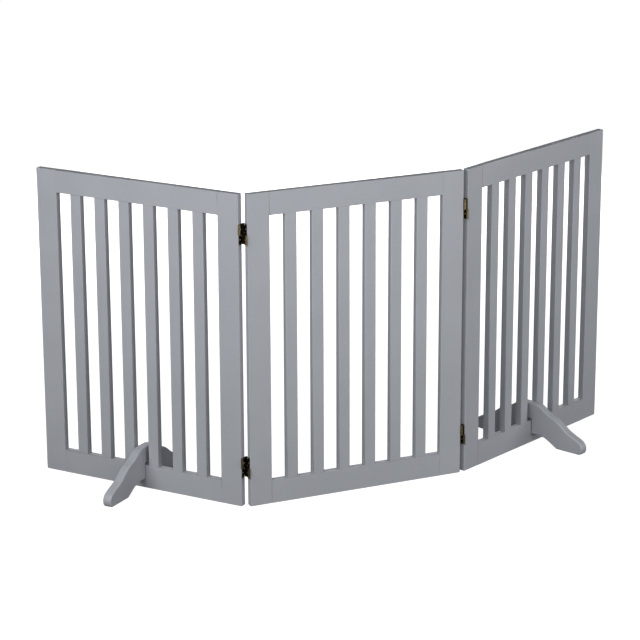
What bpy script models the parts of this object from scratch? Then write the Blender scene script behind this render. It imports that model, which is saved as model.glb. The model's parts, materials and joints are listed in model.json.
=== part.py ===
"""A free-standing folding pet gate: three slatted panels, two-way hinges and two feet.

The origin is the middle of the middle panel's underside. X runs along the middle panel,
Y runs from its front face to its back face and Z is up. Both side panels are folded back.
"""

import math

import bmesh
import bpy
from mathutils import Matrix, Vector

# Boards and panels
PANEL_HEIGHT = 0.700
PANEL_WIDTH = 0.510
BOARD = 0.015
STILE_WIDTH = 0.051
TOP_RAIL = 0.051
BOTTOM_RAIL = 0.053
SLATS = 6
SLAT_WIDTH = 0.0263
EASED_EDGE = 0.0014
CLEARANCE = 0.0003
TENON_SHOULDER = 0.0026
SLAT_TENON = 0.008
RAIL_TENON = 0.020

# How far each side panel is folded back from the line of the middle panel
LEFT_FOLD = math.radians(52.5)
RIGHT_FOLD = math.radians(25.0)

# Two-way hinges: two leaves and two links, each link joining a front pin to a back pin
HALF_GAP = 0.003
PIN_BEYOND_FACE = 0.001
HINGE_FROM_END = 0.0885
HINGE_HEIGHT = 0.046
PLATE = 0.001
LEAF_HALF_WIDTH = 0.0062
END_KNUCKLE = 0.006
PIN_RADIUS = 0.0012
BORE_RADIUS = 0.00155
KNUCKLE_RADIUS = HALF_GAP - CLEARANCE
PIN_Y = BOARD / 2 + PIN_BEYOND_FACE
LINK_HOLE_RADIUS = 0.0014
LINK_HOLE_SPACING = 0.0165
KNUCKLE_SIDES = 16
BORE_SIDES = 8
SMOOTH_BELOW = math.radians(40)

# Feet: one board across each side panel, with a slot that straddles the bottom rail
FOOT_THICKNESS = 0.0205
FOOT_REACH = 0.153
FOOT_HEIGHT = 0.096
FOOT_SLOT_TOP = 0.0575
FOOT_SLOT_SIDE = 0.0004
FOOT_ARCH = 0.021
FOOT_EASE = 0.0025
RIGHT_FOOT_OFFSET = 0.006
FOOT_CURVE_STEPS = 3

PAINT = (0.33, 0.345, 0.37, 1.0)
BRONZE = (0.10, 0.075, 0.045, 1.0)
PIN_X = PANEL_WIDTH / 2 + HALF_GAP
OPENING_WIDTH = PANEL_WIDTH - 2 * STILE_WIDTH
SLAT_GAP = (OPENING_WIDTH - SLATS * SLAT_WIDTH) / (SLATS + 1)


def clear_scene():
    for obj in list(bpy.data.objects):
        bpy.data.objects.remove(obj, do_unlink=True)


def finish(name, colour, roughness, metallic):
    """A Principled material of its own for one sub-part."""
    material = bpy.data.materials.new(name + "_finish")
    material.use_nodes = True
    shader = material.node_tree.nodes["Principled BSDF"]
    shader.inputs["Base Color"].default_value = colour
    shader.inputs["Roughness"].default_value = roughness
    shader.inputs["Metallic"].default_value = metallic
    return material


def add_object(name, mesh, parent=None, location=(0, 0, 0)):
    obj = bpy.data.objects.new(name, mesh)
    bpy.context.collection.objects.link(obj)
    obj.location = location
    obj.parent = parent
    return obj


def add_empty(name, location, turn=0.0):
    """A frame on a joint's axis, turned about Z."""
    empty = add_object(name, None, None, location)
    empty.rotation_euler = (0, 0, turn)
    return empty


def painted(name, mesh, parent, location=(0, 0, 0)):
    obj = add_object(name, mesh, parent, location)
    mesh.materials.append(finish(name, PAINT, 0.42, 0.0))
    return obj


def bronzed(name, mesh, parent, location):
    """Hinge parts share a mesh, so each object holds its own material."""
    if not mesh.materials:
        mesh.materials.append(None)
    obj = add_object(name, mesh, parent, location)
    obj.material_slots[0].link = "OBJECT"
    obj.material_slots[0].material = finish(name, BRONZE, 0.35, 1.0)
    return obj


def box_bmesh(low, high):
    shape = bmesh.new()
    bmesh.ops.create_cube(shape, size=1.0)
    low, high = Vector(low), Vector(high)
    for vert in shape.verts:
        share = vert.co + Vector((0.5, 0.5, 0.5))
        vert.co = low + Vector(share[i] * (high[i] - low[i]) for i in range(3))
    return shape


def to_mesh(shape, name):
    mesh = bpy.data.meshes.new(name)
    shape.normal_update()
    shape.to_mesh(mesh)
    shape.free()
    return mesh


def shaded(mesh):
    """Round stretches smooth, corners sharp."""
    mesh.shade_smooth()
    mesh.set_sharp_from_angle(angle=SMOOTH_BELOW)
    return mesh


def box_mesh(low, high):
    return to_mesh(box_bmesh(low, high), "box")


def prism_mesh(outline, low_z, high_z):
    """A closed solid from a counter-clockwise outline in XY."""
    shape = bmesh.new()
    face = shape.faces.new([shape.verts.new((x, y, low_z)) for x, y in outline])
    grown = bmesh.ops.extrude_face_region(shape, geom=[face])
    top = [v for v in grown["geom"] if isinstance(v, bmesh.types.BMVert)]
    bmesh.ops.translate(shape, verts=top, vec=(0, 0, high_z - low_z))
    bmesh.ops.recalc_face_normals(shape, faces=shape.faces[:])
    return to_mesh(shape, "prism")


def circle(centre, radius, sides):
    step = 2 * math.pi / sides
    return [
        (centre[0] + radius * math.cos(i * step), centre[1] + radius * math.sin(i * step))
        for i in range(sides)
    ]


def combine(name, base, joined=(), cut=()):
    """The mesh of base with other meshes joined to it and cut from it."""
    body = add_object(name, base)
    tools = []
    for operation, meshes in (("UNION", joined), ("DIFFERENCE", cut)):
        for mesh in meshes:
            tool = add_object(name + "_tool", mesh)
            tool.hide_render = True
            tool.display_type = "WIRE"
            step = body.modifiers.new("combine", "BOOLEAN")
            step.operation = operation
            step.solver = "EXACT"
            step.object = tool
            tools.append(tool)
    graph = bpy.context.evaluated_depsgraph_get()
    result = bpy.data.meshes.new_from_object(body.evaluated_get(graph))
    for obj in [body, *tools]:
        bpy.data.objects.remove(obj, do_unlink=True)
    return result


def eased_box(size):
    half = Vector(size) / 2
    shape = box_bmesh(-half, half)
    bmesh.ops.bevel(
        shape, geom=shape.edges[:], offset=EASED_EDGE, segments=2, profile=0.5, affect="EDGES"
    )
    return shape


def grow_tenons(shape, axis, length):
    """A stub tenon on both ends of a board, inside an even shoulder."""
    shape.faces.ensure_lookup_table()
    ends = [
        face
        for face in shape.faces
        if abs(face.normal[axis]) > 0.999 and face.calc_area() > EASED_EDGE * EASED_EDGE * 4
    ]
    for face in ends:
        direction = face.normal.copy()
        bmesh.ops.inset_individual(
            shape, faces=[face], thickness=TENON_SHOULDER, use_even_offset=True
        )
        grown = bmesh.ops.extrude_face_region(shape, geom=[face])
        bmesh.ops.delete(shape, geom=[face], context="FACES_ONLY")
        verts = [v for v in grown["geom"] if isinstance(v, bmesh.types.BMVert)]
        bmesh.ops.translate(shape, verts=verts, vec=direction * length)


def mortise(centre, width, direction, depth):
    """A pocket for the tenon of a board that is width across, open towards direction."""
    long_side = width / 2 - EASED_EDGE - TENON_SHOULDER + CLEARANCE
    short_side = BOARD / 2 - EASED_EDGE - TENON_SHOULDER + CLEARANCE
    across = Vector((0, 0, long_side)) if direction.x else Vector((long_side, 0, 0))
    half = across + Vector((0, short_side, 0))
    mouth = Vector(centre) + direction * BOARD
    floor = Vector(centre) - direction * (depth + CLEARANCE)
    points = [mouth - half, mouth + half, floor - half, floor + half]
    low = Vector(min(p[i] for p in points) for i in range(3))
    high = Vector(max(p[i] for p in points) for i in range(3))
    return box_mesh(low, high)


def stile_mesh(inward):
    """A full-height side board; inward is +1 or -1, towards the panel's middle."""
    shape = eased_box((STILE_WIDTH, BOARD, PANEL_HEIGHT))
    side = Vector((inward, 0, 0))
    inner_edge = inward * STILE_WIDTH / 2
    heights = (
        (BOTTOM_RAIL / 2 - PANEL_HEIGHT / 2, BOTTOM_RAIL),
        (PANEL_HEIGHT / 2 - TOP_RAIL / 2, TOP_RAIL),
    )
    pockets = [mortise((inner_edge, 0, z), width, side, RAIL_TENON) for z, width in heights]
    return combine("stile", to_mesh(shape, "stile_body"), cut=pockets)


def slat_x(index):
    """A slat's middle, counted from the panel's middle."""
    first = -OPENING_WIDTH / 2 + SLAT_GAP + SLAT_WIDTH / 2
    return first + index * (SLAT_GAP + SLAT_WIDTH)


def rail_mesh(height, inward):
    """A cross board between the stiles, with a pocket for each slat."""
    shape = eased_box((OPENING_WIDTH - 2 * CLEARANCE, BOARD, height))
    grow_tenons(shape, 0, RAIL_TENON)
    up = Vector((0, 0, inward))
    edge = inward * height / 2
    pockets = [mortise((slat_x(i), 0, edge), SLAT_WIDTH, up, SLAT_TENON) for i in range(SLATS)]
    return combine("rail", to_mesh(shape, "rail_body"), cut=pockets)


def slat_mesh():
    length = PANEL_HEIGHT - TOP_RAIL - BOTTOM_RAIL - 2 * CLEARANCE
    shape = eased_box((SLAT_WIDTH, BOARD, length))
    grow_tenons(shape, 2, SLAT_TENON)
    return to_mesh(shape, "slat")


def build_panel(prefix, parent, centre_x, stile_names):
    """Two stiles, two rails and the slats, in the frame of parent."""
    side_x = PANEL_WIDTH / 2 - STILE_WIDTH / 2
    middle_y = -parent.location.y
    for name, side in zip(stile_names, (-1, 1)):
        place = (centre_x + side * side_x, middle_y, PANEL_HEIGHT / 2)
        painted(f"{prefix}_{name}_stile", stile_mesh(-side), parent, place)
    top_z = PANEL_HEIGHT - TOP_RAIL / 2
    painted(f"{prefix}_top_rail", rail_mesh(TOP_RAIL, -1), parent, (centre_x, middle_y, top_z))
    bottom = (centre_x, middle_y, BOTTOM_RAIL / 2)
    painted(f"{prefix}_bottom_rail", rail_mesh(BOTTOM_RAIL, 1), parent, bottom)
    slat_z = (PANEL_HEIGHT - TOP_RAIL + BOTTOM_RAIL) / 2
    for i in range(SLATS):
        place = (centre_x + slat_x(i), middle_y, slat_z)
        painted(f"{prefix}_slat_{i + 1}", slat_mesh(), parent, place)


def knuckle_levels(upper):
    """Lower end, middle and upper end ranges of the knuckles in one half of a hinge."""
    low = CLEARANCE if upper else -HINGE_HEIGHT / 2 + CLEARANCE
    high = low + HINGE_HEIGHT / 2 - 2 * CLEARANCE
    return (
        (low, low + END_KNUCKLE),
        (low + END_KNUCKLE + CLEARANCE, high - END_KNUCKLE - CLEARANCE),
        (high - END_KNUCKLE, high),
    )


def curl_outline(front):
    """A knuckle rolled from the outer face of a leaf's plate, on the -X side of the pin."""
    y = -PIN_Y if front else PIN_Y
    inner_x = KNUCKLE_RADIUS - PLATE
    meet = math.atan2(math.sqrt(KNUCKLE_RADIUS**2 - inner_x**2), -inner_x)
    sweep = 2 * math.pi - (math.pi - meet)
    points = []
    for i in range(KNUCKLE_SIDES):
        angle = math.pi + sweep * i / (KNUCKLE_SIDES - 1)
        points.append((KNUCKLE_RADIUS * math.cos(angle), KNUCKLE_RADIUS * math.sin(angle)))
    root = PIN_Y - LEAF_HALF_WIDTH + PLATE
    points += [(-inner_x, root), (-KNUCKLE_RADIUS, root)]
    if front:
        return [(px, y + py) for px, py in points]
    return [(px, y - py) for px, py in reversed(points)]


def leaf_mesh():
    """The leaf on the -X side: rolled to the front above and to the back below."""
    inner_x = KNUCKLE_RADIUS - PLATE
    half_height = HINGE_HEIGHT / 2 - CLEARANCE
    plate = box_mesh(
        (-KNUCKLE_RADIUS, -LEAF_HALF_WIDTH, -half_height),
        (-inner_x, LEAF_HALF_WIDTH, half_height),
    )
    curls = []
    bores = []
    for upper in (True, False):
        ends = knuckle_levels(upper)
        for low, high in (ends[0], ends[2]):
            curls.append(prism_mesh(curl_outline(front=upper), low, high))
        y = -PIN_Y if upper else PIN_Y
        bore = circle((0, y), BORE_RADIUS, BORE_SIDES)
        bores.append(prism_mesh(bore, ends[0][0] - PLATE, ends[2][1] + PLATE))
    return combine("leaf", plate, joined=curls, cut=bores)


def link_mesh(upper):
    """The plate between a front pin and a back pin, with its knuckles, pins and two holes."""
    ends = knuckle_levels(upper)
    low, high = ends[0][0], ends[2][1]
    reach = PIN_Y - KNUCKLE_RADIUS - CLEARANCE
    plate = box_mesh((-PLATE / 2, -reach, low), (PLATE / 2, reach, high))
    middle = ends[1]
    joined = [box_mesh((-PLATE / 2, -PIN_Y, middle[0]), (PLATE / 2, PIN_Y, middle[1]))]
    for y in (-PIN_Y, PIN_Y):
        joined.append(prism_mesh(circle((0, y), KNUCKLE_RADIUS, KNUCKLE_SIDES), *middle))
        joined.append(prism_mesh(circle((0, y), PIN_RADIUS, BORE_SIDES), low, high))
    across = Matrix.Rotation(math.pi / 2, 4, "Y")
    holes = []
    for offset in (-LINK_HOLE_SPACING / 2, LINK_HOLE_SPACING / 2):
        hole = prism_mesh(circle((0, 0), LINK_HOLE_RADIUS, KNUCKLE_SIDES), -PLATE, PLATE)
        hole.transform(Matrix.Translation((0, 0, (low + high) / 2 + offset)) @ across)
        holes.append(hole)
    return combine("link", plate, joined=joined, cut=holes)


def build_hinges(side, side_panel):
    """Two hinges in one gap. The link on the side leaf's front pin folds back with that leaf."""
    left_leaf = leaf_mesh()
    right_leaf = left_leaf.copy()
    right_leaf.transform(Matrix.Rotation(math.pi, 4, "Z"))
    on_left = side < 0
    name = "left" if on_left else "right"
    middle_mesh, side_mesh = (right_leaf, left_leaf) if on_left else (left_leaf, right_leaf)
    links = (("upper_link", shaded(link_mesh(True))), ("lower_link", shaded(link_mesh(False))))
    for mesh in (left_leaf, right_leaf):
        shaded(mesh)
    for level, z in (("top", PANEL_HEIGHT - HINGE_FROM_END), ("bottom", HINGE_FROM_END)):
        label = f"{name}_{level}_hinge"
        fixed = (None, (side * PIN_X, 0, z))
        moving = (side_panel, (0, -PIN_Y, z))
        bronzed(f"{label}_middle_leaf", middle_mesh, *fixed)
        bronzed(f"{label}_side_leaf", side_mesh, *moving)
        for (kind, mesh), place in zip(links, (moving, fixed) if on_left else (fixed, moving)):
            bronzed(f"{label}_{kind}", mesh, *place)


def smooth_line(points, steps):
    """A Catmull-Rom curve through the points."""
    ends = [2 * points[0] - points[1], *points, 2 * points[-1] - points[-2]]
    line = []
    for a, b, c, d in zip(ends, ends[1:], ends[2:], ends[3:]):
        for i in range(steps):
            t = i / steps
            line.append(
                0.5 * (2 * b + (c - a) * t + (2 * a - 5 * b + 4 * c - d) * t**2)
                + 0.5 * (3 * b - a - 3 * c + d) * t**3
            )
    line.append(points[-1])
    return line


def foot_half_outline():
    """One wing from the top of the slot's wall round the tip to its lower edge, as (y, z)."""
    crest = [(0.0075, 1.0), (0.021, 0.995), (0.034, 0.945), (0.046, 0.86), (0.058, 0.79)]
    fall = [(0.074, 0.735), (0.087, 0.65), (0.103, 0.52), (0.119, 0.43), (0.138, 0.345)]
    tip = [(0.148, 0.275), (FOOT_REACH, 0.16), (0.1505, 0.045), (0.143, 0.0)]
    top = [Vector((y, share * FOOT_HEIGHT)) for y, share in crest + fall + tip]
    sole_start = 0.080
    under = [(sole_start, 0.0), (0.066, 0.008), (0.048, 0.0178), (0.034, FOOT_ARCH)]
    underside = smooth_line([Vector(p) for p in under], FOOT_CURVE_STEPS)
    wall = BOARD / 2 + FOOT_SLOT_SIDE
    return smooth_line(top, FOOT_CURVE_STEPS) + underside + [Vector((wall, FOOT_ARCH))]


def foot_outline():
    wing = foot_half_outline()
    slot = [Vector((wing[-1].x, FOOT_SLOT_TOP))]
    half = wing + slot
    mirrored = [Vector((-p.x, p.y)) for p in reversed(half)]
    return half + mirrored


def foot_mesh():
    """A board cut to the outline and rounded along its long edges."""
    shape = bmesh.new()
    x = FOOT_THICKNESS / 2
    face = shape.faces.new([shape.verts.new((-x, p.x, p.y)) for p in foot_outline()])
    grown = bmesh.ops.extrude_face_region(shape, geom=[face])
    far = [v for v in grown["geom"] if isinstance(v, bmesh.types.BMVert)]
    bmesh.ops.translate(shape, verts=far, vec=(FOOT_THICKNESS, 0, 0))
    bmesh.ops.recalc_face_normals(shape, faces=shape.faces[:])
    rims = [e for e in shape.edges if abs(e.verts[0].co.x - e.verts[1].co.x) < x]
    bmesh.ops.bevel(
        shape, geom=rims, offset=FOOT_EASE, segments=2, profile=0.5, affect="EDGES",
        clamp_overlap=True,
    )
    return to_mesh(shape, "foot")


def build_foot(name, parent, x):
    painted(name, shaded(foot_mesh()), parent, (x, -parent.location.y, 0))


def build_side(side, fold, foot_offset):
    """A side panel, its foot and its hinges. Side is -1 on the left and +1 on the right."""
    name = "left" if side < 0 else "right"
    turn = side * fold
    panel = add_empty(f"{name}_back_pins", (side * PIN_X, PIN_Y, 0), turn)
    centre_x = side * PIN_X
    stile_names = ("outer", "hinge") if side < 0 else ("hinge", "outer")
    build_panel(name, panel, centre_x, stile_names)
    build_foot(f"{name}_foot", panel, centre_x + side * foot_offset)
    build_hinges(side, panel)


def main():
    clear_scene()
    middle = add_empty("middle_panel", (0, 0, 0))
    build_panel("middle", middle, 0, ("left", "right"))
    build_side(-1, LEFT_FOLD, 0)
    build_side(1, RIGHT_FOLD, RIGHT_FOOT_OFFSET)
    bpy.context.view_layer.update()


main()
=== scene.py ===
import json
import math

import bmesh
import bpy
from mathutils import Matrix, Vector


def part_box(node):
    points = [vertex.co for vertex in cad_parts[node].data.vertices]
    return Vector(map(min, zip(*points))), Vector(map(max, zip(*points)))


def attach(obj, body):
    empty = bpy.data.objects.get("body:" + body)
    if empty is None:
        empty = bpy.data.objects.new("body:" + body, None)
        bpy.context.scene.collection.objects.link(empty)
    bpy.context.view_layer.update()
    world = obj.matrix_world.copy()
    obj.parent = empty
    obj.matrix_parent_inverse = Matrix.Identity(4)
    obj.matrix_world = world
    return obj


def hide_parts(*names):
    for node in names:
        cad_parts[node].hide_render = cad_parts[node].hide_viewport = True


# A folding pet gate in satin grey paint, with antiqued brass hinges, on a white studio floor.
# Boards are rebuilt finer than the frame's solids; hinges get screw and rivet heads.
# Lengths are in metres, colours are linear, and the gate stands on z = 0 with its front at -Y.

CAMERA_PLACE = (-2.1753, -4.7042, 1.9905)
CAMERA_YAW = math.radians(23.954)
CAMERA_PITCH = math.radians(17.160)
CAMERA_ROLL = math.radians(-0.197)
CAMERA_LENS = 140.53
SENSOR = 36.0

# Each softbox: name, azimuth (0 in front, 90 to the right), elevation, distance, size, watts.
LIGHTS = [
    ("left", -70, 22, 2.6, 1.5, 42.0),
    ("key", -31, 22, 2.6, 1.4, 20.5),
    ("right", 23, 17, 2.5, 1.5, 28.0),
    ("far_right", 63, 12, 2.5, 1.5, 16.0),
    ("rear", 148, 11, 3.0, 1.6, 52.0),
    ("rear_middle", 176, 11, 3.0, 1.6, 43.0),
]
LIGHT_TARGET = (0, 0, 0.35)
FLOOR_RADIUS = 14.0
FLOOR_SIDES = 64
FLOOR_DROP = 0.0002
GLOW_REACH = (1.0, 2.2)
GLOW_STRENGTH = (0.90, 1.0)

PANELS = {"left": ("outer", "hinge"), "middle": ("left", "right"), "right": ("hinge", "outer")}
FOLDING_SIDES = ("left", "right")
SLATS = range(1, 7)

# Boards
STILE_ROUND = 0.0014
RAIL_ROUND = 0.0009
SLAT_ROUND = 0.0012
EDGE_STEPS = 4
FOOT_ROUND = 0.0036
FOOT_STEPS = 6
FOOT_SHARP = math.radians(48)
BUTT_GAP = 0.00005
MERGE_WITHIN = 0.00001
RIM_WITHIN = 0.00005

# Hinges: SCREW_FRONT and SCREW_REAR are places along Y, measured from the board's middle.
LEAF_FACE = 0.0017
LINK_FACE = 0.0005
HALF_CENTRE = 0.0115
SCREW_SPREAD = 0.0082
SCREW_FRONT = -0.0022
SCREW_REAR = 0.0036
SCREW_HEAD = 0.0018
RIVET_HEAD = 0.0016
HEAD_RISE = 0.0004
HEAD_SIDES = 32
# A head's profile, from its foot to its top, as shares of its radius and of its rise.
HEAD_PROFILE = [(1.0, 0.0), (1.0, 0.3), (0.93, 0.62), (0.8, 0.86), (0.66, 1.0)]
# A cross recess, as shares of the head's radius, and its floor, as shares of its brim.
CROSS_REACH = 0.558
CROSS_HALF = 0.15
CROSS_FLOOR_REACH = 0.86
CROSS_FLOOR_HALF = 0.7
CROSS_FLOOR_RISE = 0.2
KNUCKLE_FADE = (0.0029, 0.0034)

WHITE = (1.0, 1.0, 1.0)
PAINT_TONES = ((0.352, 0.366, 0.397), (0.376, 0.391, 0.423))
# The back knuckles take PLATE_TONES too, as painted shade; BRASS_TONES is only for the front knuckles.
PLATE_TONES = ((0.022, 0.016, 0.010), (0.075, 0.055, 0.034))
BRASS_TONES = ((0.20, 0.150, 0.080), (0.46, 0.36, 0.21))
STEEL_TONES = ((0.66, 0.62, 0.54), (0.92, 0.89, 0.82))
FLOOR_TONES = ((0.34, 0.34, 0.34), (0.35, 0.35, 0.35))

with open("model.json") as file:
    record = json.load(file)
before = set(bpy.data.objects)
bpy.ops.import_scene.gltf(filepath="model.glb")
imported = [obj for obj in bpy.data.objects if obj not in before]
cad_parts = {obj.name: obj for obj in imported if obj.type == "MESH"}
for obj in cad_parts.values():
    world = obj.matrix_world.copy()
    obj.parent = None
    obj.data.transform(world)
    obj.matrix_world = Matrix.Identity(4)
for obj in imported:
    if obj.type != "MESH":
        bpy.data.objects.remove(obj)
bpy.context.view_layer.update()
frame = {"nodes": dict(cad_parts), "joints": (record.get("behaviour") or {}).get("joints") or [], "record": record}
BODY_NODES = frame["record"]["behaviour"]["bodies"]


# Materials


def new_material(name):
    """A material, its shader, a function that adds and wires a node, and its links."""
    material = bpy.data.materials.new(name)
    material.use_nodes = True
    nodes, links = material.node_tree.nodes, material.node_tree.links
    shader = nodes["Principled BSDF"]

    def add(kind, settings=(), inputs=()):
        node = nodes.new(kind)
        for key, value in dict(settings).items():
            setattr(node, key, value)
        for key, value in dict(inputs).items():
            if isinstance(value, bpy.types.NodeSocket):
                links.new(value, node.inputs[key])
            else:
                node.inputs[key].default_value = value
        return node

    return material, shader, add, links


def noise(add, place, scale, detail=2.0):
    """Noise over the object's own coordinates; a larger scale is finer."""
    inputs = {"Vector": place, "Scale": scale, "Detail": detail}
    return add("ShaderNodeTexNoise", (), inputs).outputs["Fac"]


def spread(add, value, low, high, to_low, to_high):
    """value from low to high, mapped to to_low to to_high."""
    inputs = {
        "Value": value, "From Min": low, "From Max": high, "To Min": to_low, "To Max": to_high
    }
    return add("ShaderNodeMapRange", (), inputs).outputs["Result"]


def blend_colours(add, share, first, second):
    """first where share is 0, second where it is 1."""
    ramp = add("ShaderNodeValToRGB", (), {"Fac": share})
    ramp.color_ramp.elements[0].color = (*first, 1.0)
    ramp.color_ramp.elements[1].color = (*second, 1.0)
    return ramp.outputs["Color"]


def relief(add, height, strength, distance, under=None):
    """A bump normal, laid over another one if it is given."""
    inputs = {"Height": height, "Strength": strength, "Distance": distance}
    if under is not None:
        inputs["Normal"] = under
    return add("ShaderNodeBump", (), inputs).outputs["Normal"]


def wire(links, shader, colour, roughness, normal):
    """The three inputs that each painted or metal surface has."""
    links.new(colour, shader.inputs["Base Color"])
    links.new(roughness, shader.inputs["Roughness"])
    links.new(normal, shader.inputs["Normal"])


def paint_material(name, stretch):
    """Sprayed satin paint: faint cloudiness, fine stipple drawn out along the board."""
    material, shader, add, links = new_material(name)
    place = add("ShaderNodeTexCoord").outputs["Object"]
    drawn = add("ShaderNodeMapping", (), {"Vector": place, "Scale": stretch}).outputs["Vector"]
    cloud = spread(add, noise(add, place, 7.0, 3.0), 0.3, 0.7, 0.0, 1.0)
    colour = blend_colours(add, cloud, *PAINT_TONES)
    stipple = noise(add, drawn, 900.0, 3.0)
    brushed = noise(add, drawn, 210.0, 2.0)
    rough = spread(add, noise(add, place, 34.0, 3.0), 0.3, 0.7, 0.40, 0.52)
    fine = relief(add, stipple, 0.10, 0.0002)
    wire(links, shader, colour, rough, relief(add, brushed, 0.08, 0.0004, fine))
    shader.inputs["Specular IOR Level"].default_value = 0.35
    return material


def near_pin(add, place, pin):
    """1 on the knuckles that are rolled round one pin, 0 on the flat plates."""
    offset = add("ShaderNodeVectorMath", {"operation": "SUBTRACT"}, {0: place, 1: (*pin, 0.0)})
    flat = add(
        "ShaderNodeVectorMath", {"operation": "MULTIPLY"},
        {0: offset.outputs["Vector"], 1: (1.0, 1.0, 0.0)},
    )
    reach = add("ShaderNodeVectorMath", {"operation": "LENGTH"}, {0: flat.outputs["Vector"]})
    return spread(add, reach.outputs["Value"], *KNUCKLE_FADE, 1.0, 0.0)


def hinge_material(name, pin):
    """Antiqued brass: blackened plates and front knuckles rubbed back to the brass; the back knuckles are left as
    dark as the plates, painted shade where they sit in the gap.
    """
    material, shader, add, links = new_material(name)
    place = add("ShaderNodeTexCoord").outputs["Object"]
    # Only the knuckles round the front pin turn brass; the back knuckles keep the plate tones as painted shade.
    knuckle = near_pin(add, place, pin)
    cloud = spread(add, noise(add, place, 330.0, 4.0), 0.35, 0.65, 0.0, 1.0)
    plate = blend_colours(add, cloud, *PLATE_TONES)
    brass = blend_colours(add, cloud, *BRASS_TONES)
    mix = add("ShaderNodeMix", {"data_type": "RGBA"}, {0: knuckle, 6: plate, 7: brass})
    marks = noise(add, place, 1500.0, 2.0)
    normal = relief(add, marks, 0.12, 0.0001)
    wire(links, shader, mix.outputs[2], spread(add, cloud, 0.0, 1.0, 0.52, 0.30), normal)
    shader.inputs["Metallic"].default_value = 1.0
    return material


def steel_material():
    """Zinc-plated screw and rivet heads, faintly blotched."""
    material, shader, add, links = new_material("screw_steel")
    place = add("ShaderNodeTexCoord").outputs["Object"]
    cloud = spread(add, noise(add, place, 700.0, 3.0), 0.3, 0.7, 0.0, 1.0)
    marks = noise(add, place, 2600.0, 2.0)
    normal = relief(add, marks, 0.10, 0.00005)
    tone = blend_colours(add, cloud, *STEEL_TONES)
    wire(links, shader, tone, spread(add, cloud, 0.0, 1.0, 0.42, 0.28), normal)
    shader.inputs["Metallic"].default_value = 0.85
    return material


# Places


def rest_places():
    """For each body, the transform from the in-line gate to the rest pose."""
    places = {"middle_panel": Matrix.Identity(4)}
    for joint in frame["joints"]:
        if joint["type"] == "hinge":
            pivot = Vector(joint["pos_m"])
            turn = -math.radians(joint["range_deg"][0]) * joint["axis"][2]
            rotation = Matrix.Rotation(turn, 4, "Z")
            places[joint["child"]] = (
                Matrix.Translation(pivot) @ rotation @ Matrix.Translation(-pivot)
            )
    return places


PLACES = rest_places()


def in_line_box(node, body):
    """The lowest and highest corners of a node, with the gate's panels in line."""
    undo = PLACES[body].inverted()
    points = [undo @ v.co for v in frame["nodes"][node].data.vertices]
    low = Vector(min(p[i] for p in points) for i in range(3))
    high = Vector(max(p[i] for p in points) for i in range(3))
    return low, high


def fold_pivot(side):
    """The back pin that a side panel turns on, in the gap on that side."""
    return Vector(next(j["pos_m"] for j in frame["joints"] if j["name"] == f"{side}_fold"))


def front_pin(side, body):
    """The (x, y) at rest of a body's front pin in the gap on one side."""
    gap = fold_pivot(side)
    pin = PLACES[body] @ Vector((gap.x, -gap.y, 0))
    return pin.x, pin.y


# Boards


def add_piece(name, shape, material, body, place):
    """A mesh object from a bmesh, placed and riding on its body."""
    mesh = bpy.data.meshes.new(name)
    shape.normal_update()
    shape.to_mesh(mesh)
    shape.free()
    mesh.shade_smooth()
    mesh.materials.append(material)
    piece = bpy.data.objects.new(name, mesh)
    bpy.context.scene.collection.objects.link(piece)
    piece.matrix_world = place
    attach(piece, body)
    return piece


def weight_normals(piece):
    """Flat faces stay flat beside their rounded edges."""
    weighted = piece.modifiers.new("flat faces", "WEIGHTED_NORMAL")
    weighted.keep_sharp = True


def board_shape(low, high, radius, ease_ends):
    """A board with rounded arrises. Its ends stay square where they butt on another board."""
    shape = bmesh.new()
    bmesh.ops.create_cube(shape, size=1.0)
    size = high - low
    for vert in shape.verts:
        vert.co = low + Vector((vert.co[i] + 0.5) * size[i] for i in range(3))
    long_axis = max(range(3), key=lambda i: size[i])
    edges = shape.edges[:]
    if not ease_ends:
        def along(edge):
            span = edge.verts[1].co - edge.verts[0].co
            return abs(span[long_axis]) > size[long_axis] / 2
        edges = [edge for edge in edges if along(edge)]
    bmesh.ops.bevel(
        shape, geom=edges, offset=radius, segments=EDGE_STEPS, profile=0.5, affect="EDGES"
    )
    return shape


def make_board(node, body, material, box, radius, ease_ends=False):
    """A board in place of a node of the frame."""
    shape = board_shape(*box, radius, ease_ends)
    piece = add_piece(node + "_board", shape, material, body, PLACES[body])
    weight_normals(piece)
    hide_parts(node)


def make_panel(side, upright, level):
    """Stiles run full height, rails butt between them and slats butt between the rails."""
    body = f"{side}_panel"
    stiles = [f"{side}_{kind}_stile" for kind in PANELS[side]]
    boxes = [in_line_box(node, body) for node in stiles]
    for node, box in zip(stiles, boxes):
        make_board(node, body, upright, box, STILE_ROUND, ease_ends=True)
    rail_low_x, rail_high_x = boxes[0][1].x + BUTT_GAP, boxes[1][0].x - BUTT_GAP
    levels = {}
    for kind in ("bottom", "top"):
        node = f"{side}_{kind}_rail"
        low, high = in_line_box(node, body)
        levels[kind] = (low.z, high.z)
        low.x, high.x = rail_low_x, rail_high_x
        make_board(node, body, level, (low, high), RAIL_ROUND)
    for index in SLATS:
        node = f"{side}_slat_{index}"
        low, high = in_line_box(node, body)
        low.z, high.z = levels["bottom"][1] + BUTT_GAP, levels["top"][0] - BUTT_GAP
        make_board(node, body, upright, (low, high), SLAT_ROUND)


# Feet


def walk_round(ring):
    """The vertices of one closed ring, in order."""
    start = min(ring, key=lambda v: v.co.y)
    loop, last, here = [start], None, start
    while True:
        others = [edge.other_vert(here) for edge in here.link_edges]
        ahead = [v for v in others if v in ring and v is not last]
        last, here = here, ahead[0]
        if here is start:
            return loop
        loop.append(here)


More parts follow.
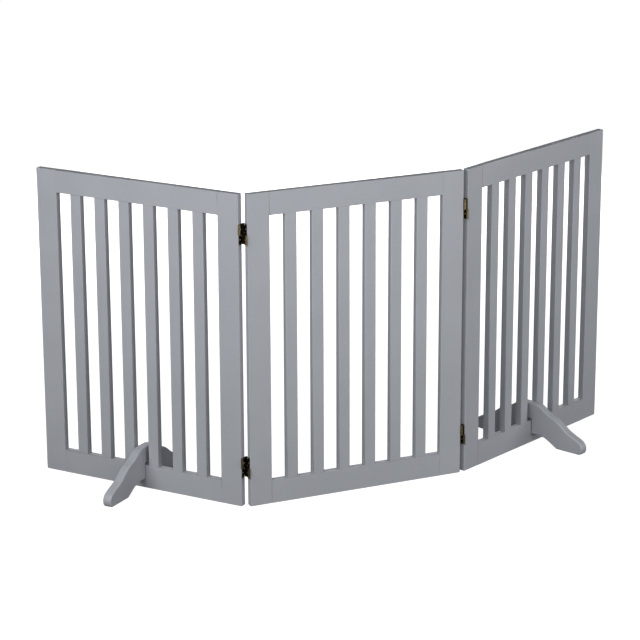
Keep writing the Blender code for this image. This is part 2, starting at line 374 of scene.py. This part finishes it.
def rim_loop(node, body):
    """A foot's outline as (y, z) points in order, and its two side faces' x."""
    source = bmesh.new()
    source.from_mesh(frame["nodes"][node].data)
    source.transform(PLACES[body].inverted())
    bmesh.ops.remove_doubles(source, verts=source.verts, dist=MERGE_WITHIN)
    low_x = min(v.co.x for v in source.verts)
    high_x = max(v.co.x for v in source.verts)
    reach = max(v.co.y for v in source.verts)
    on_rim = min(v.co.x for v in source.verts if v.co.y > reach - RIM_WITHIN)
    ring = {v for v in source.verts if abs(v.co.x - on_rim) < RIM_WITHIN}
    points = [(v.co.y, v.co.z) for v in walk_round(ring)]
    source.free()
    return points, low_x, high_x


def foot_shape(points, low_x, high_x):
    """The outline given its thickness, with both rims rounded over."""
    shape = bmesh.new()
    face = shape.faces.new([shape.verts.new((low_x, y, z)) for y, z in points])
    grown = bmesh.ops.extrude_face_region(shape, geom=[face])
    far = [v for v in grown["geom"] if isinstance(v, bmesh.types.BMVert)]
    bmesh.ops.translate(shape, verts=far, vec=(high_x - low_x, 0, 0))
    bmesh.ops.recalc_face_normals(shape, faces=shape.faces[:])
    middle = (low_x + high_x) / 2
    rims = [
        e for e in shape.edges
        if (e.verts[0].co.x < middle) == (e.verts[1].co.x < middle)
    ]
    bmesh.ops.bevel(
        shape, geom=rims, offset=FOOT_ROUND, segments=FOOT_STEPS, profile=0.5, affect="EDGES",
        clamp_overlap=True,
    )
    return shape


def make_foot(node, panel_body, material):
    """The foot board again, with the fuller rounding of a routed edge."""
    shape = foot_shape(*rim_loop(node, panel_body))
    piece = add_piece(node + "_board", shape, material, node, PLACES[panel_body])
    piece.data.set_sharp_from_angle(angle=FOOT_SHARP)
    weight_normals(piece)
    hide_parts(node)


# Screw and rivet heads


def ring_of(shape, radius, z):
    """The vertices of a circle at one height."""
    angles = [2 * math.pi * i / HEAD_SIDES for i in range(HEAD_SIDES)]
    return [shape.verts.new((radius * math.cos(a), radius * math.sin(a), z)) for a in angles]


def wall_between(shape, lower, upper):
    """Faces between two rings of the same number of vertices."""
    count = len(lower)
    for i in range(count):
        j = (i + 1) % count
        shape.faces.new((lower[i], lower[j], upper[j], upper[i]))


def cross_loop(shape, reach, half, z):
    """The twelve corners of a cross, anticlockwise."""
    arm = [(reach, -half), (reach, half), (half, half)]
    corners = []
    for quarter in range(4):
        turn = Matrix.Rotation(quarter * math.pi / 2, 2)
        corners += [turn @ Vector(corner) for corner in arm]
    return [shape.verts.new((x, y, z)) for x, y in corners]


def edges_within(verts):
    """The edges that join vertices of one ring, met once from each end."""
    return [e for v in verts for e in v.link_edges if e.other_vert(v) in verts]


def cut_cross(shape, radius, rim):
    """Closes a head's top with a face that has a cross recess in it."""
    reach, half = radius * CROSS_REACH, radius * CROSS_HALF
    brim = cross_loop(shape, reach, half, HEAD_RISE)
    recess = cross_loop(
        shape, reach * CROSS_FLOOR_REACH, half * CROSS_FLOOR_HALF, HEAD_RISE * CROSS_FLOOR_RISE
    )
    wall_between(shape, brim, recess)
    shape.faces.new(recess)
    edges = list(dict.fromkeys(edges_within(rim) + edges_within(brim)))
    bmesh.ops.triangle_fill(shape, use_beauty=True, edges=edges)
    bmesh.ops.recalc_face_normals(shape, faces=shape.faces[:])


def head_shape(radius, crossed):
    """A low round head standing on the XY plane: a screw with a cross recess, or a rivet."""
    shape = bmesh.new()
    rings = [ring_of(shape, radius * share, HEAD_RISE * rise) for share, rise in HEAD_PROFILE]
    for lower, upper in zip(rings, rings[1:]):
        wall_between(shape, lower, upper)
    shape.faces.new(list(reversed(rings[0])))
    if crossed:
        cut_cross(shape, radius, rings[-1])
    else:
        shape.faces.new(rings[-1])
    return shape


def joined_heads(spots):
    """One mesh of several heads. A spot is a transform, a radius and whether it has a cross."""
    mesh = bpy.data.meshes.new("heads")
    whole = bmesh.new()
    for place, radius, crossed in spots:
        head = head_shape(radius, crossed)
        head.transform(place)
        head.to_mesh(mesh)
        head.free()
        whole.from_mesh(mesh)
    bpy.data.meshes.remove(mesh)
    return whole


def facing(side, x, y, z):
    """A transform from a head's own axes to a face that looks along side times X."""
    return Matrix.Translation((x, y, z)) @ Matrix.Rotation(side * math.pi / 2, 4, "Y")


def leaf_screws(gap_x, level, face, half):
    """Four screws on one leaf: one row of two in front, one row of two behind."""
    x = gap_x - face * LEAF_FACE
    spots = [(SCREW_FRONT, half * HALF_CENTRE), (SCREW_FRONT, -half * HALF_CENTRE)]
    for offset in (-SCREW_SPREAD, SCREW_SPREAD):
        spots.append((SCREW_REAR, half * HALF_CENTRE + offset))
    return [(facing(face, x, y, level + z), SCREW_HEAD, True) for y, z in spots]


def link_rivets(gap_x, level, half):
    """One rivet head on each face of a link."""
    z = level + half * HALF_CENTRE
    return [
        (facing(face, gap_x + face * LINK_FACE, SCREW_FRONT, z), RIVET_HEAD, False)
        for face in (-1, 1)
    ]


def make_heads(hinge, side, material):
    """Screws on both leaves and rivets on both links of one hinge."""
    bodies = [f"{side}_panel", "middle_panel"]
    left_body, right_body = bodies if side == "left" else reversed(bodies)
    gap_x = fold_pivot(side).x
    low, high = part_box(f"{hinge}_middle_leaf")
    level = (low[2] + high[2]) / 2
    groups = [
        ("left_leaf_screws", left_body, leaf_screws(gap_x, level, 1, -1)),
        ("right_leaf_screws", right_body, leaf_screws(gap_x, level, -1, 1)),
        ("upper_link_rivets", left_body, link_rivets(gap_x, level, 1)),
        ("lower_link_rivets", right_body, link_rivets(gap_x, level, -1)),
    ]
    for kind, body, spots in groups:
        name = f"{hinge}_{kind}"
        add_piece(name, joined_heads(spots), material, body, PLACES[body])


def finish_hinge(hinge, side, plated, steel):
    """The frame's own leaves and links take their metal, and get their heads."""
    for kind in ("middle_leaf", "side_leaf", "upper_link", "lower_link"):
        node = f"{hinge}_{kind}"
        body = next(b for b, nodes in BODY_NODES.items() if node in nodes)
        slots = frame["nodes"][node].data.materials
        for index in range(len(slots)):
            slots[index] = plated[body]
    make_heads(hinge, side, steel)


def make_hinges(side, steel):
    """The top and bottom hinge of one gap."""
    # Brass round each body's front pin only; its back knuckles stay dark as painted shade.
    plated = {
        body: hinge_material(f"antiqued_brass_{side}_{body}", front_pin(side, body))
        for body in ("middle_panel", f"{side}_panel")
    }
    for level in ("top", "bottom"):
        finish_hinge(f"{side}_{level}_hinge", side, plated, steel)


# Studio


def main_camera():
    """The photograph's view."""
    data = bpy.data.cameras.new("camera")
    data.lens = CAMERA_LENS
    data.sensor_width = SENSOR
    camera = bpy.data.objects.new("camera", data)
    bpy.context.scene.collection.objects.link(camera)
    yaw = Matrix.Rotation(-CAMERA_YAW, 4, "Z")
    tilt = Matrix.Rotation(math.pi / 2 - CAMERA_PITCH, 4, "X")
    roll = Matrix.Rotation(CAMERA_ROLL, 4, "Z")
    camera.matrix_world = Matrix.Translation(CAMERA_PLACE) @ (yaw @ tilt) @ roll
    bpy.context.scene.camera = camera


def softbox(name, azimuth, elevation, distance, size, power):
    """A square area light aimed at the middle of the gate."""
    data = bpy.data.lights.new(name, "AREA")
    data.size = size
    data.energy = power
    light = bpy.data.objects.new(name, data)
    bpy.context.scene.collection.objects.link(light)
    a, e = math.radians(azimuth), math.radians(elevation)
    back = Vector((math.sin(a) * math.cos(e), -math.cos(a) * math.cos(e), math.sin(e)))
    light.location = Vector(LIGHT_TARGET) + back * distance
    light.rotation_mode = "QUATERNION"
    light.rotation_quaternion = (-back).to_track_quat("-Z", "Y")
    return light


def studio():
    """A backdrop that only the camera sees, and the soft lights. The rear ones leave no glare."""
    world = bpy.data.worlds.new("studio")
    bpy.context.scene.world = world
    world.use_nodes = True
    nodes, links = world.node_tree.nodes, world.node_tree.links
    background = nodes["Background"]
    background.inputs["Color"].default_value = (*WHITE, 1.0)
    path = nodes.new("ShaderNodeLightPath")
    links.new(path.outputs["Is Camera Ray"], background.inputs["Strength"])
    bpy.context.scene.view_settings.view_transform = "Standard"
    for light in LIGHTS:
        box = softbox(*light)
        box.visible_glossy = "rear" not in light[0]


def floor_material():
    """White, and glowing a little more away from the gate, so that it runs into the backdrop."""
    material, shader, add, links = new_material("floor_white")
    place = add("ShaderNodeTexCoord").outputs["Object"]
    tone = blend_colours(add, noise(add, place, 1.5, 2.0), *FLOOR_TONES)
    links.new(tone, shader.inputs["Base Color"])
    shader.inputs["Roughness"].default_value = 0.9
    shader.inputs["Emission Color"].default_value = (*WHITE, 1.0)
    reach = add("ShaderNodeVectorMath", {"operation": "LENGTH"}, {0: place})
    glow = spread(add, reach.outputs["Value"], *GLOW_REACH, *GLOW_STRENGTH)
    links.new(glow, shader.inputs["Emission Strength"])
    return material


def floor():
    """A wide disc just under the gate. It takes shadows and lights nothing."""
    shape = bmesh.new()
    bmesh.ops.create_circle(shape, cap_ends=True, radius=FLOOR_RADIUS, segments=FLOOR_SIDES)
    mesh = bpy.data.meshes.new("floor")
    shape.to_mesh(mesh)
    shape.free()
    mesh.materials.append(floor_material())
    obj = bpy.data.objects.new("floor", mesh)
    bpy.context.scene.collection.objects.link(obj)
    obj.location.z = -FLOOR_DROP
    obj.visible_diffuse = False
    obj.visible_glossy = False


upright_paint = paint_material("paint_upright", (1.0, 1.0, 0.15))
level_paint = paint_material("paint_level", (0.15, 1.0, 1.0))
foot_paint = paint_material("paint_foot", (1.0, 1.0, 1.0))
steel = steel_material()

for panel in PANELS:
    make_panel(panel, upright_paint, level_paint)
for foot_side in FOLDING_SIDES:
    make_foot(f"{foot_side}_foot", f"{foot_side}_panel", foot_paint)
for gap_side in FOLDING_SIDES:
    make_hinges(gap_side, steel)

main_camera()
studio()
floor()
